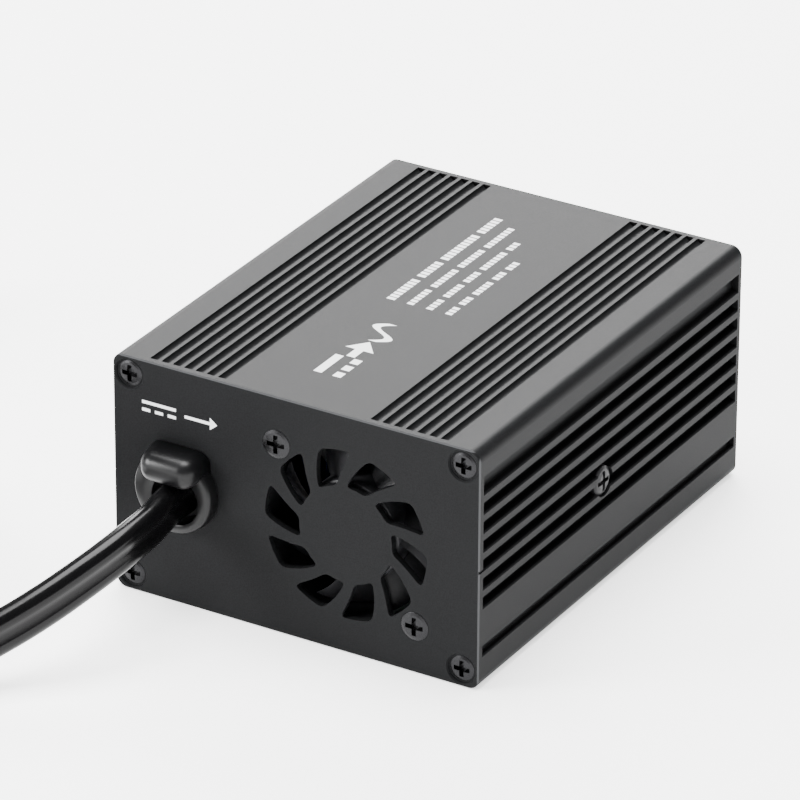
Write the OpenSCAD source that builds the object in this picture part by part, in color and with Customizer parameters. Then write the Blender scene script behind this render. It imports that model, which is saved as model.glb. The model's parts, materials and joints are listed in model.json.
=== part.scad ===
// Small car power inverter: a finned extruded case with a fan grille and a 12 V lead at the front,
// and the mains outlet, charging ports and switch at the rear.
// X runs across the case, Y from front to rear, Z up; the origin is the middle of the underside.

/* [Case] */
// Width of the case
case_w = 85; // [80:1:100]
// Depth over both end plates
case_d = 108; // [104:1:140]
// Height of the case
case_h = 53; // [52:1:60]
// Radius of the case's long corners
corner_r = 2.4; // [2:0.2:3.6]
// Thickness of the end plates
plate_t = 1.5; // [1.2:0.1:2]
// Thickness of the side and top walls
wall_t = 3.2; // [3:0.1:4]
// Thickness of the floor
floor_t = 2.2; // [2:0.1:3]

/* [Fins] */
// Grooves in each half of the top
top_groove_count = 7; // [1:1:7]
// Distance from one top groove to the next
top_groove_pitch = 2.66; // [2.4:0.01:2.7]
// Radius of a top groove
top_groove_r = 0.93; // [0.5:0.01:1.1]
// Grooves between the ribs of each side
side_groove_count = 6; // [1:1:6]
// Distance from one side groove to the next
side_groove_pitch = 4.2; // [3.6:0.1:4.2]
// Height of a side groove
side_groove_h = 2.25; // [1.5:0.05:2.5]
// Depth of a side groove
side_groove_depth = 2; // [1:0.1:2]

/* [Fan] */
// Width and height of the fan
fan_size = 40; // [40:1:40]
// Thickness of the fan
fan_t = 10; // [10:0.5:12]
// Distance of the fan's axis from the middle of the case
fan_x = 11.9; // [8:0.1:14]
// Number of blades
blade_count = 7; // [5:1:9]
// Number of slots in the grille
slot_count = 10; // [6:1:10]

/* [Lead] */
// Width of the flat two-core lead
cord_w = 9.3; // [8:0.1:9.4]
// Thickness of the flat two-core lead
cord_t = 5; // [4:0.1:5]
// Radius of the coil's outermost turn
coil_r = 51; // [51:0.5:52]
// Turns in the coil
coil_turns = 2.083; // [2:0.001:2.1]

/* [Plug] */
// Radius of the plug's handle
handle_r = 11; // [10.6:0.1:11]
// Radius of the barrel that enters the socket
barrel_r = 10.2; // [10:0.1:10.4]
// Travel of the tip contact
tip_travel = 3; // [2:0.5:3]

/* [Hidden] */
$fn = 48;

// Case
front_y = -case_d / 2;
rear_y = case_d / 2;
body_d = case_d - 2 * plate_t;
inner_x = case_w / 2 - wall_t;
corner_inset = 3.9;
dome_h = 0.4;
corner_x = case_w / 2 - corner_inset;
corner_z = [corner_inset, case_h - corner_inset];
mid_z = case_h / 2;
top_groove_x = 17.62;
side_groove_z = 18;
low_groove = [7.3, 9.3, 1.2];
wide_groove = [43.3, 47, 1.6];
plate_bevel = 0.3;
socket_depth = 2.1;
board_z = 8;
board_t = 1.6;
board_top = board_z + board_t;
side_screw_at = [case_w / 2, -3.6, 24.2];
side_head_r = 3.25;

// Fan
fan_z = mid_z;
fan_front = front_y + plate_t;
fan_rear = fan_front + fan_t;
fan_hole = 16;
hub_r = 11.2;
grille_in = 10.75;
grille_out = 18.7;
slot_steps = [0, 0.03, 0.11, 0.3, 0.5, 0.7, 0.89, 0.97, 1];

// Lead and coil
bush_at = [-27, mid_z];
cord_x = -26.3;
cord_z = 25.2;
tie_t = 0.5;
lie_z = cord_w / 2 + tie_t;
coil_at = [-106, -102];
coil_pitch = 5.2;
coil_from = -30;
coil_in = coil_r - coil_pitch * coil_turns;
dc_route = [[cord_x, -47, cord_z], [cord_x, -53, cord_z], [cord_x, -58, cord_z], [-26.1, -62.5, 24.6],
  [-26, -66.7, 23.9], [-26.5, -71.3, 23.1], [-27.3, -75.6, 22.1], [-28.8, -80.6, 20.5],
  [-30.6, -85.1, 18.8], [-32.6, -89.2, 17], [-34.8, -93.1, 15.2], [-37.2, -96.8, 13.4],
  [-39.7, -100.3, 11.7], [-43.1, -104.7, 9.6], [-46.9, -109, 8], [-50.9, -113.4, 6.6],
  [-54.8, -117.8, 5.7], [-58.5, -122.5, 5.2], [-61.8, -127.5, lie_z]];
// Angle round the coil, radius, height
tail_polar = [[-60, 40.2, lie_z], [-75, 40, 6.2], [-90, 39.8, 8.7], [-105, 39.6, 11.5], [-120, 39.8, 13.7],
  [-135, 40.8, 14.6], [-150, 42.8, 14.8], [-165, 45.3, 14.8], [-180, 47.6, 14.8]];
plug_x = -154;
tail_end = [[plug_x, -92, 14.7], [plug_x, -84, 14], [plug_x, -77, 12.6], [plug_x, -70, 11.4],
  [plug_x, -62, 11], [plug_x, -56, 11]];
tail_route = concat([for (q = tail_polar) round_coil(q)], tail_end);

// Plug, along its own axis from the rear end of its strain relief
plug_rear = -69;
relief_len = 22;
handle_from = 20;
barrel_from = 52;
nose_from = 78;
nose_len = 9;
tip_len = 5;
plug_wall = 2;
fuse_r = 3.2;

// Rear panel
outlet_at = [14, mid_z];
usb_at = [-20, 35];
led_at = [-37, 27];
switch_at = [-20, 14];
pivot_y = rear_y - 2;
rest_tilt = 10;
blade_gap = 12.7;
earth_drop = 11.9;
blade_z = 4.5;

// Electronics
transformer_at = [-12, 4];
window_z = [18, 34];
mosfet_y = [-26, -14, 7, 19];

function round_coil(q) = [coil_at.x + q[1] * cos(q[0]), coil_at.y + q[1] * sin(q[0]), q[2]];
function unit(v) = v / norm(v);
function heading(p, i) = unit(p[min(i + 1, len(p) - 1)] - p[max(i - 1, 0)]);
// A flat two-core section standing on its edge: across, up
function flat_section() = [for (a = [15:30:345])
  [cord_t / 2 * cos(a), cord_t / 2 * sin(a) + sign(sin(a)) * (cord_w - cord_t) / 2]];
function round_section(r) = [for (a = [22.5:45:337.5]) [r * cos(a), r * sin(a)]];
// One ring of points, with the section's second direction kept as near to ref as it can be
function ring_points(p, i, section, ref) =
  let (t = heading(p, i), up = unit(ref - (ref * t) * t), side = cross(t, up))
  [for (q = section) p[i] + side * q[0] + up * q[1]];

module swept(p, section, ref = [0, 0, 1]) {
  n = len(section);
  last = len(p) - 1;
  points = [for (i = [0:last]) each ring_points(p, i, section, ref)];
  sides = [for (i = [0:last - 1], j = [0:n - 1])
    [i * n + j, (i + 1) * n + j, (i + 1) * n + (j + 1) % n, i * n + (j + 1) % n]];
  start_cap = [for (j = [0:n - 1]) j];
  end_cap = [for (j = [n - 1:-1:0]) last * n + j];
  polyhedron(points, concat(sides, [start_cap, end_cap]), convexity = 8);
}

// A solid of revolution or an extrusion whose axis runs along +Y from y
module along_y(y) {
  translate([0, y, 0]) rotate([-90, 0, 0]) children();
}

module rod_y(x, z, y, len, r, r2 = -1) {
  translate([x, 0, z]) along_y(y) cylinder(h = len, r1 = r, r2 = r2 < 0 ? r : r2);
}

module box(from, to) {
  translate(from) cube(to - from);
}

module rounded_rect(w, h, r) {
  square([w - 2 * r, h], center = true);
  square([w, h - 2 * r], center = true);
  for (sx = [-1, 1], sz = [-1, 1]) translate([sx * (w / 2 - r), sz * (h / 2 - r)]) circle(r);
}

// A profile drawn in X and Z, extruded from y to y + d
module section_y(y, d) {
  translate([0, y + d, 0]) rotate([90, 0, 0]) linear_extrude(d) children();
}

// A round insulated wire along points, which may run upright
module wire(points, r) {
  swept(points, round_section(r), [1, 0, 0]);
}

module cross_recess(size, depth) {
  for (a = [0, 90]) rotate([0, 0, a]) cube([size, 1, 2 * depth], center = true);
}

// Raised countersunk screw along +Z, the rim of its head at the origin
module countersunk(head_r, head_t, shank_r, len) {
  difference() {
    rotate_extrude() polygon([[0, -dome_h], [head_r * 0.5, -dome_h * 0.9], [head_r * 0.8, -dome_h * 0.55],
      [head_r - 0.05, -dome_h * 0.1], [head_r, 0], [shank_r, head_t], [shank_r, len], [0, len]]);
    cross_recess(head_r * 1.3, 0.9);
  }
}

// ---- Case ----
// One groove along the side, from z0 to z1, with softened rib edges and corners
module side_groove(z0, z1, depth) {
  edge = 0.25;
  translate([case_w / 2, 0]) polygon([[-depth, z0 + edge], [-depth + edge, z0], [-edge, z0], [0, z0 - edge],
    [1, z0 - edge], [1, z1 + edge], [0, z1 + edge], [-edge, z1], [-depth + edge, z1], [-depth, z1 - edge]]);
}

module side_grooves() {
  for (k = [0:side_groove_count - 1]) translate([0, k * side_groove_pitch])
    side_groove(side_groove_z, side_groove_z + side_groove_h, side_groove_depth);
  side_groove(low_groove[0], low_groove[1], low_groove[2]);
  side_groove(wide_groove[0], wide_groove[1], wide_groove[2]);
}

module case_profile() {
  difference() {
    translate([0, mid_z]) rounded_rect(case_w, case_h, corner_r);
    difference() {
      translate([-inner_x, floor_t]) square([2 * inner_x, case_h - wall_t - floor_t]);
      for (s = [-1, 1], z = corner_z) translate([s * corner_x, z]) circle(3);
    }
    for (s = [-1, 1]) {
      translate([s * inner_x, board_z + board_t / 2]) square([2, board_t + 0.1], center = true);
      for (z = corner_z) translate([s * corner_x, z]) circle(1.25);
      for (k = [0:top_groove_count - 1])
        translate([s * (top_groove_x + k * top_groove_pitch), case_h]) circle(top_groove_r);
      mirror([s < 0 ? 1 : 0, 0]) side_grooves();
    }
  }
}

module at_side_screw(s) {
  translate([s * side_screw_at.x, side_screw_at.y, side_screw_at.z]) rotate([0, -s * 90, 0]) children();
}

module case_extrusion() {
  color([0.42, 0.42, 0.43]) difference() {
    section_y(front_y + plate_t, body_d) case_profile();
    for (s = [-1, 1]) at_side_screw(s) {
      translate([0, 0, -1]) cylinder(h = 1 + socket_depth, r = side_head_r + 0.05);
      cylinder(h = 5, r = 1.6);
    }
  }
}

// End plate standing in X and Z: its inner face is at y = 0, its bevelled outer face towards -Y
module end_plate() {
  bevel = plate_bevel;
  w = case_w;
  r = corner_r;
  translate([0, -(plate_t - bevel), mid_z]) {
    section_y(0, plate_t - bevel) rounded_rect(w, case_h, r);
    for (sx = [-1, 1], sz = [-1, 1]) translate([sx * (w / 2 - r), 0, sz * (case_h / 2 - r)])
      rotate([90, 0, 0]) cylinder(h = bevel, r1 = r, r2 = r - bevel);
    rotate([90, 0, 90]) translate([0, 0, -w / 2 + r]) linear_extrude(w - 2 * r)
      polygon([[0, -case_h / 2], [0, case_h / 2], [-bevel, case_h / 2 - bevel], [-bevel, -case_h / 2 + bevel]]);
    translate([0, 0, -case_h / 2 + r]) linear_extrude(case_h - 2 * r)
      polygon([[-w / 2, 0], [w / 2, 0], [w / 2 - bevel, -bevel], [-w / 2 + bevel, -bevel]]);
  }
}

module corner_seats() {
  for (sx = [-1, 1], z = corner_z) {
    rod_y(sx * corner_x, z, -2, 1, 3.15);
    rod_y(sx * corner_x, z, -plate_t - 0.01, 0.31, 3.46, 3.15);
    rod_y(sx * corner_x, z, -1.01, 1.02, 2.85, 1.55);
  }
}

// Slot of the swirling grille: both sides lean with the radius, and its corners are rounded.
// u runs from 0 at the outer end to 1 at the inner end.
function slot_radius(u) = grille_out - u * (grille_out - grille_in);
function slot_round(u) = let (e = 0.11, v = max(0, (e - u) / e, (u - 1 + e) / e))
  0.85 / slot_radius(u) * 180 / PI * (1 - sqrt(1 - v * v));
function slot_left(u) = 87 + 14 * pow(u, 1.3) + slot_round(u);
function slot_right(u) = 109 + 16 * u - slot_round(u);
function on_circle(r, a) = [r * cos(a), r * sin(a)];

module grille_slot() {
  down = [for (u = slot_steps) on_circle(slot_radius(u), slot_left(u))];
  up = [for (i = [len(slot_steps) - 1:-1:0]) let (u = slot_steps[i]) on_circle(slot_radius(u), slot_right(u))];
  inner = on_circle(grille_in, (slot_left(1) + slot_right(1)) / 2);
  outer = [for (a = [104, 98, 92]) on_circle(grille_out, a)];
  polygon(concat(down, [inner], up, outer));
}

module front_plate() {
  color([0.28, 0.28, 0.29]) translate([0, front_y + plate_t, 0]) difference() {
    end_plate();
    corner_seats();
    rod_y(bush_at.x, bush_at[1], -plate_t - 1, plate_t + 2, 8);
    translate([fan_x, 0, fan_z]) {
      for (k = [0:slot_count - 1]) rotate([0, -k * 360 / slot_count, 0])
        section_y(-plate_t - 1, plate_t + 2) grille_slot();
      for (s = [-1, 1]) rod_y(s * fan_hole, -s * fan_hole, -plate_t - 0.01, plate_t + 0.02, 3.2, 1.7);
    }
    for (s = [-1, 1]) box([s * case_w / 2 - 0.25, -plate_t - 1, mid_z - 0.3],
      [s * case_w / 2 + 0.25, 1, mid_z + 0.3]);
  }
}

module rear_plate() {
  color([0.28, 0.28, 0.29]) translate([0, rear_y - plate_t, 0]) mirror([0, 1, 0]) difference() {
    end_plate();
    corner_seats();
    panel_hole(outlet_at, [32.2, 26.2]);
    panel_hole(usb_at, [14.5, 16.2]);
    panel_hole(switch_at, [19, 13]);
    rod_y(led_at.x, led_at[1], -plate_t - 1, plate_t + 2, 1.6);
  }
}

module panel_hole(at, size) {
  translate([at.x, 0, at[1]]) box([-size.x / 2, -plate_t - 1, -size[1] / 2], [size.x / 2, 1, size[1] / 2]);
}

module corner_screw_set() {
  for (sx = [-1, 1], z = corner_z) translate([sx * corner_x, 0, z])
    along_y(-1) countersunk(2.75, 1, 1.45, 10);
}

module front_corner_screws() {
  color([0.1, 0.1, 0.1]) translate([0, front_y + plate_t, 0]) corner_screw_set();
}

module rear_corner_screws() {
  color([0.1, 0.1, 0.1]) translate([0, rear_y - plate_t, 0]) mirror([0, 1, 0]) corner_screw_set();
}

module fan_screws() {
  color([0.1, 0.1, 0.1]) for (s = [-1, 1]) translate([fan_x + s * fan_hole, 0, fan_z - s * fan_hole])
    along_y(front_y) countersunk(3.1, plate_t, 1.45, 14);
}

module fan_nuts() {
  color([0.75, 0.75, 0.72]) for (s = [-1, 1]) translate([fan_x + s * fan_hole, 0, fan_z - s * fan_hole])
    along_y(fan_rear) difference() {
      cylinder(h = 2.2, r = 3.1, $fn = 6);
      translate([0, 0, -1]) cylinder(h = 5, r = 1.45);
    }
}

module side_screws() {
  color([0.1, 0.1, 0.1]) for (s = [-1, 1]) at_side_screw(s) translate([0, 0, 0.1])
      difference() {
        rotate_extrude() polygon([[0, 0], [1.7, 0.05], [2.6, 0.25], [side_head_r - 0.1, 0.55], [side_head_r, 0.75],
          [side_head_r, socket_depth - 0.1], [1.45, socket_depth - 0.1], [1.45, 10.5], [0, 10.5]]);
        cross_recess(4.4, 0.9);
      }
}

// ---- Fan ----
module at_fan() {
  translate([fan_x, fan_front, fan_z]) rotate([-90, 0, 0]) children();
}

module fan_frame() {
  base_z = fan_t - 1.5;
  color([0.09, 0.09, 0.1]) at_fan() {
    difference() {
      linear_extrude(fan_t) rounded_rect(fan_size, fan_size, 3);
      translate([0, 0, -1]) cylinder(h = fan_t + 2, r = 18.9);
      for (sx = [-1, 1], sy = [-1, 1]) translate([sx * fan_hole, sy * fan_hole, -1])
        cylinder(h = fan_t + 2, r = 1.65);
    }
    translate([0, 0, base_z]) cylinder(h = 1.5, r = 11);
    for (a = [45:90:315]) rotate([0, 0, a]) translate([10, -1, base_z]) cube([9.4, 2, 1.5]);
    difference() {
      translate([0, 0, 3.2]) cylinder(h = base_z - 3.2, r = 3.2);
      translate([0, 0, 3]) cylinder(h = 6, r = 2.3);
    }
  }
}

module fan_impeller() {
  color([0.2, 0.2, 0.21]) at_fan() {
    difference() {
      translate([0, 0, 0.5]) cylinder(h = 6.8, r = hub_r);
      translate([0, 0, 1.6]) cylinder(h = 6, r = 10.3);
    }
    difference() {
      translate([0, 0, 1.5]) cylinder(h = 0.9, r = 2.1);
      translate([0, 0, 1.6]) cylinder(h = 1, r = 1);
    }
    intersection() {
      difference() {
        translate([0, 0, 0.8]) cylinder(h = 6.4, r = 18.3);
        translate([0, 0, 0.7]) cylinder(h = 6.6, r = hub_r - 0.2);
      }
      for (k = [0:blade_count - 1]) rotate([0, 0, k * 360 / blade_count])
        translate([14.8, 0, 4]) rotate([48, 0, 0]) cube([9, 9.5, 0.9], center = true);
    }
  }
}

module ring(z, h, r_in, r_out) {
  translate([0, 0, z]) difference() {
    cylinder(h = h, r = r_out);
    translate([0, 0, -1]) cylinder(h = h + 2, r = r_in);
  }
}

module fan_magnet_ring() {
  color([0.25, 0.23, 0.22]) at_fan() ring(2, 5, 8.9, 10.3);
}

module fan_shaft() {
  color([0.8, 0.8, 0.8]) at_fan() translate([0, 0, 1.6]) cylinder(h = 6.6, r = 1);
}

module fan_bearing() {
  color([0.72, 0.6, 0.35]) at_fan() ring(3.4, 5, 1.04, 2.3);
}

module fan_stator_core() {
  color([0.5, 0.5, 0.52]) at_fan() {
    ring(4.2, 1.8, 3.2, 5);
    for (a = [0:90:270]) rotate([0, 0, a]) {
      translate([4.5, -1, 4.2]) cube([3, 2, 1.8]);
      translate([7, -3.2, 4.2]) cube([0.9, 6.4, 1.8]);
    }
  }
}

module fan_windings() {
  color([0.72, 0.38, 0.16]) at_fan() for (a = [0:90:270]) rotate([0, 0, a]) difference() {
    translate([5.1, -2, 3.3]) cube([1.8, 4, 3.6]);
    translate([4, -1, 4.2]) cube([4, 2, 1.8]);
  }
}

module fan_circuit_board() {
  color([0.1, 0.35, 0.18]) at_fan() ring(fan_t - 2.2, 0.7, 3.2, 9);
}

module fan_lead(offset_x, shade) {
  x = fan_x - 14 + offset_x;
  color(shade) wire([[x, fan_rear, 14], [x, -40.6, 14], [x, -38, 13.4], [x, -36, 12.2],
    [x, -35.4, board_top - 0.5]], 0.7);
}

module fan_lead_red() {
  fan_lead(0, [0.6, 0.08, 0.06]);
}

module fan_lead_black() {
  fan_lead(2, [0.05, 0.05, 0.05]);
}

// ---- Lead: bush, cord, coil and tie ----
module cord_passage(y, len) {
  box([cord_x - cord_t / 2 - 0.1, y, cord_z - cord_w / 2 - 0.1],
    [cord_x + cord_t / 2 + 0.1, y + len, cord_z + cord_w / 2 + 0.1]);
}

module cord_bush_body() {
  jaw_front = front_y - 6.2;
  color([0.05, 0.05, 0.05]) difference() {
    union() {
      rod_y(bush_at.x, bush_at[1], front_y - 1.6, 1.6, 9.25);
      rod_y(bush_at.x, bush_at[1], front_y, 8, 7.9);
      rod_y(bush_at.x, bush_at[1], jaw_front, 4.8, 7.4, 8.2);
    }
    cord_passage(front_y - 8, 20);
    box([cord_x - 6.2, front_y - 9, cord_z + cord_w / 2], [cord_x + 6.2, front_y + 9, mid_z + 10]);
  }
}

module cord_bush_wedge() {
  top = mid_z + 8.6;
  under = cord_z + cord_w / 2 + 0.1;
  r = (top - under) / 2;
  color([0.05, 0.05, 0.05]) {
    intersection() {
      box([cord_x - 6.1, front_y, under], [cord_x + 6.1, front_y + 7.5, top]);
      rod_y(bush_at.x, bush_at[1], front_y - 1, 10, 7.8);
    }
    box([cord_x - 6.1, front_y - 4.6, under], [cord_x + 6.1, front_y, top]);
    box([cord_x - 6.1, front_y - 7.2, under], [cord_x + 6.1, front_y - 4, top - r]);
    translate([cord_x - 6.1, front_y - 4.6, top - r]) rotate([0, 90, 0]) cylinder(h = 12.2, r = r);
  }
}

module dc_cord() {
  color([0.04, 0.04, 0.04]) swept(dc_route, flat_section());
}

module cord_coil() {
  color([0.04, 0.04, 0.04]) translate([coil_at.x, coil_at.y, 0])
    ring(tie_t, cord_w, coil_in - cord_t / 2 - 0.2, coil_r + cord_t / 2, $fn = 96);
}

module cord_tail() {
  color([0.04, 0.04, 0.04]) swept(tail_route, flat_section());
}

module cord_tie() {
  color([0.06, 0.06, 0.06]) translate([coil_at.x, coil_at.y, 0]) rotate([0, 0, 80])
    difference() {
      box([coil_in - cord_t / 2 - 0.2 - tie_t, -2, 0], [coil_r + cord_t / 2 + tie_t, 2, cord_w + 2 * tie_t]);
      box([coil_in - cord_t / 2 - 0.2, -3, tie_t], [coil_r + cord_t / 2, 3, cord_w + tie_t]);
    }
}

// ---- Plug ----
module at_plug() {
  translate([plug_x, plug_rear, handle_r]) rotate([-90, 0, 0]) children();
}

// Outline of the plug's body: distance along the axis, radius
module plug_solid() {
  rotate_extrude() polygon([[0, handle_from], [8, handle_from], [handle_r - 0.8, handle_from + 3],
    [handle_r, handle_from + 12], [handle_r - 0.4, barrel_from - 3], [barrel_r, barrel_from],
    [barrel_r, nose_from], [0, nose_from]]);
}

module plug_hollow() {
  translate([0, 0, handle_from + 6]) cylinder(h = 60, r = handle_r - plug_wall - 2);
  translate([0, 0, barrel_from + 4]) cylinder(h = nose_from, r = barrel_r - plug_wall);
  cylinder(h = handle_from + 10, r = 5.1);
}

module grip_grooves() {
  for (k = [0:5]) ring(handle_from + 11.5 + k * 2.7, 1.2, handle_r - 0.9, handle_r + 1);
}

module side_windows() {
  for (s = [-1, 1]) box([s * 9 - 3, -2.6, barrel_from + 6.5], [s * 9 + 3, 2.6, barrel_from + 21.5]);
}

module plug_half(s) {
  color([0.06, 0.06, 0.06]) at_plug() difference() {
    intersection() {
      plug_solid();
      box([-20, s < 0 ? -20 : 0, 0], [20, s < 0 ? 0 : 20, 100]);
    }
    plug_hollow();
    grip_grooves();
    side_windows();
    plug_screw_hole();
  }
}

module plug_screw_hole() {
  translate([0, 12, handle_from + 20]) rotate([90, 0, 0]) cylinder(h = 3, r = 3);
  translate([0, 12, handle_from + 20]) rotate([90, 0, 0]) cylinder(h = 24, r = 1.3);
}

module plug_body_lower() {
  plug_half(1);
}

module plug_body_upper() {
  plug_half(-1);
}

module plug_strain_relief() {
  color([0.05, 0.05, 0.05]) at_plug() difference() {
    union() {
      cylinder(h = relief_len - 2, r1 = 5.8, r2 = 7.6);
      translate([0, 0, relief_len - 3]) cylinder(h = 9, r = 5);
    }
    box([-cord_t / 2 - 0.05, -cord_w / 2 - 0.05, -1], [cord_t / 2 + 0.05, cord_w / 2 + 0.05, relief_len + 12]);
  }
}

module plug_nose_cap() {
  color([0.08, 0.08, 0.08]) at_plug() difference() {
    rotate_extrude() polygon([[3.3, nose_from], [9.4, nose_from], [9.4, nose_from + 2],
      [7.4, nose_from + nose_len], [3.3, nose_from + nose_len]]);
    translate([0, 0, nose_from - 1]) cylinder(h = 5, r = 4.6);
  }
}

// The tip moves back along the axis against its spring
module plug_tip_contact() {
  color([0.8, 0.8, 0.8]) at_plug() {
    translate([0, 0, nose_from + nose_len - 1]) cylinder(h = tip_len - 1, r = 3);
    translate([0, 0, nose_from + nose_len + tip_len - 2]) cylinder(h = 2, r1 = 3, r2 = 1.6);
    translate([0, 0, nose_from + 2.2]) cylinder(h = nose_len - 2, r = 3);
    translate([0, 0, nose_from + 2.2]) cylinder(h = 1.6, r = 4.2);
  }
}

module plug_spring() {
  from = nose_from - 6;
  coils = 4;
  pitch = (nose_from + 2.2 - from) / coils;
  color([0.75, 0.75, 0.75]) at_plug() for (k = [0:coils - 1])
    translate([0, 0, from + k * pitch]) ring(0.2, pitch - 1.05, 2.9, 3.7);
}

module plug_fuse() {
  from = nose_from - 36;
  color([0.85, 0.85, 0.8]) at_plug() {
    translate([0, 0, from]) cylinder(h = 6, r = fuse_r);
    translate([0, 0, from + 6]) cylinder(h = 18, r = fuse_r - 0.3);
    translate([0, 0, from + 24]) cylinder(h = 6, r = fuse_r);
  }
}

module plug_side_contact(s) {
  color([0.8, 0.8, 0.78]) at_plug() scale([s, 1, 1]) {
    rotate([90, 0, 0]) translate([0, 0, -2.2]) linear_extrude(4.4)
      polygon([[7.2, barrel_from + 7.2], [9.6, barrel_from + 7.2], [11.1, barrel_from + 11],
        [11.1, barrel_from + 17], [9.6, barrel_from + 20.8], [7.2, barrel_from + 20.8]]);
  }
}

module plug_side_contact_left() {
  plug_side_contact(-1);
}

module plug_side_contact_right() {
  plug_side_contact(1);
}

module plug_screw() {
  color([0.6, 0.6, 0.6]) at_plug() translate([0, 10.8, handle_from + 20]) rotate([90, 0, 0]) difference() {
    union() {
      cylinder(h = 1.8, r = 2.7);
      cylinder(h = 19, r = 1.3);
    }
    cross_recess(3.4, 0.9);
  }
}

// ---- Electronics ----
module main_board() {
  color([0.1, 0.34, 0.17]) box([-inner_x - 0.9, -37, board_z], [inner_x + 0.9, 34, board_top]);
}

module input_wire(z, x_end, shade) {
  bend = (cord_x + x_end) / 2;
  color(shade) wire([[cord_x, -47, z], [cord_x, -44, z], [bend, -40, z - 2], [x_end, -36, z - 6],
    [x_end, -34, 15], [x_end, -33.6, board_top - 0.5]], 1.4);
}

module input_wire_red() {
  input_wire(cord_z + 2.2, -22, [0.6, 0.06, 0.05]);
}

module input_wire_black() {
  input_wire(cord_z - 2.2, -30, [0.05, 0.05, 0.05]);
}

module board_fuse() {
  color([0.2, 0.35, 0.65]) for (y = [-22.5, -9.5]) translate([-28.3, y, board_top]) {
    box([-1.9, -5.5, 4], [1.9, 5.5, 16]);
    for (s = [-1, 1]) box([-0.4, s * 3.5 - 1.5, -0.5], [0.4, s * 3.5 + 1.5, 4]);
  }
}

module can_at(x, y, r, h) {
  translate([x, y, board_top]) difference() {
    cylinder(h = h, r = r);
    ring(3, 1, r - 0.4, r + 1);
  }
}

module input_capacitors() {
  color([0.12, 0.14, 0.3]) {
    can_at(-18, -24, 6.5, 22);
    can_at(-4, -25, 6.5, 22);
  }
}

module hv_capacitor() {
  color([0.12, 0.14, 0.3]) can_at(14, -25, 9, 30);
}

module at_transformer() {
  translate([transformer_at.x, transformer_at.y, 0]) children();
}

module transformer_core() {
  color([0.2, 0.2, 0.2]) at_transformer() {
    for (z = [window_z[0] - 5, window_z[1]]) translate([-17, -6.5, z]) cube([34, 13, 5]);
    for (s = [-1, 1]) box([s * 14.5 - 2.5, -6.5, window_z[0]], [s * 14.5 + 2.5, 6.5, window_z[1]]);
    translate([0, 0, window_z[0]]) cylinder(h = 16, r = 5.5);
  }
}

module transformer_bobbin() {
  color([0.1, 0.1, 0.1]) at_transformer() {
    ring(window_z[0], 16, 5.6, 6.3);
    for (z = [window_z[0], window_z[1] - 0.8]) ring(z, 0.8, 5.6, 11.6);
    for (s = [-1, 1]) {
      box([-14, s * 10 - 2, board_top + 1], [14, s * 10 + 2, board_top + 3.4]);
      for (x = [-11:5.5:11]) translate([x, s * 10, board_top - 1.4]) cylinder(h = 3, r = 0.5);
      box([-4, s * 9 - 2.4, board_top + 3], [4, s * 9 + 2.4, window_z[0] + 0.4]);
    }
  }
}

module transformer_winding() {
  color([0.75, 0.6, 0.2]) at_transformer() ring(window_z[0] + 0.8, 14.4, 6.3, 10.8);
}

module mosfet_row(s, shade) {
  color(shade) for (y = mosfet_y) scale([s, 1, 1]) {
    box([inner_x - 0.4 - 4.5, y - 5, 14], [inner_x - 0.4, y + 5, 23]);
    box([inner_x - 0.4 - 1.3, y - 5, 22.9], [inner_x - 0.4, y + 5, 29]);
    for (k = [-1:1])
      box([inner_x - 3, y + k * 2.5 - 0.4, board_top - 1], [inner_x - 2.4, y + k * 2.5 + 0.4, 14.1]);
  }
}

module input_mosfets() {
  mosfet_row(-1, [0.12, 0.12, 0.12]);
}

module output_mosfets() {
  mosfet_row(1, [0.13, 0.13, 0.13]);
}

module insulator_pads() {
  color([0.75, 0.75, 0.7]) for (s = [-1, 1]) scale([s, 1, 1]) difference() {
    box([inner_x - 0.4, -32, 13], [inner_x, 25, 30]);
    translate([inner_x - 1, side_screw_at.y, side_screw_at.z]) rotate([0, 90, 0]) cylinder(h = 2, r = 1.7);
  }
}

module mosfet_clamps() {
  color([0.7, 0.7, 0.7]) for (s = [-1, 1]) scale([s, 1, 1]) difference() {
    union() {
      box([inner_x - 7.4, -31, 15], [inner_x - 4.9, 24, 22]);
      box([inner_x - 7.4, -8, 15], [inner_x - 4.9, 1, 29]);
    }
    translate([inner_x - 9, side_screw_at.y, side_screw_at.z]) rotate([0, 90, 0]) cylinder(h = 6, r = 1.45);
  }
}

module at_choke() {
  translate([19, 16, board_top + 7.5]) children();
}

module choke_core() {
  color([0.5, 0.5, 0.2]) at_choke() ring(-4, 8, 4.6, 9);
}

module choke_winding() {
  color([0.72, 0.38, 0.16]) at_choke() difference() {
    rotate([0, 0, 30]) rotate_extrude(angle = 300)
      polygon([[3.4, -5.2], [10.2, -5.2], [10.2, 5.2], [3.4, 5.2]]);
    ring(-4, 8, 4.6, 9);
  }
}

module control_chips() {
  color([0.08, 0.08, 0.08]) for (at = [[10, -6], [22, -6], [6, 28]]) {
    box([at.x - 4.5, at.y - 3, board_top + 0.4], [at.x + 4.5, at.y + 3, board_top + 3.6]);
    for (s = [-1, 1], k = [-1.5:1]) box([at.x + k * 2.54 - 0.3, at.y + s * 3.4 - 0.4, board_top - 1],
      [at.x + k * 2.54 + 0.3, at.y + s * 3.4 + 0.4, board_top + 2]);
  }
}

// ---- Rear panel ----
module usb_shells() {
  w = 14.3;
  h = 16;
  color([0.75, 0.75, 0.76]) translate([usb_at.x, 0, usb_at[1]]) difference() {
    box([-w / 2, rear_y - 17, -h / 2], [w / 2, rear_y + 0.3, h / 2]);
    for (s = [-1, 1]) box([-6.4, rear_y - 16, s * 3.9 - 2.65], [6.4, rear_y + 1, s * 3.9 + 2.65]);
  }
}

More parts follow.
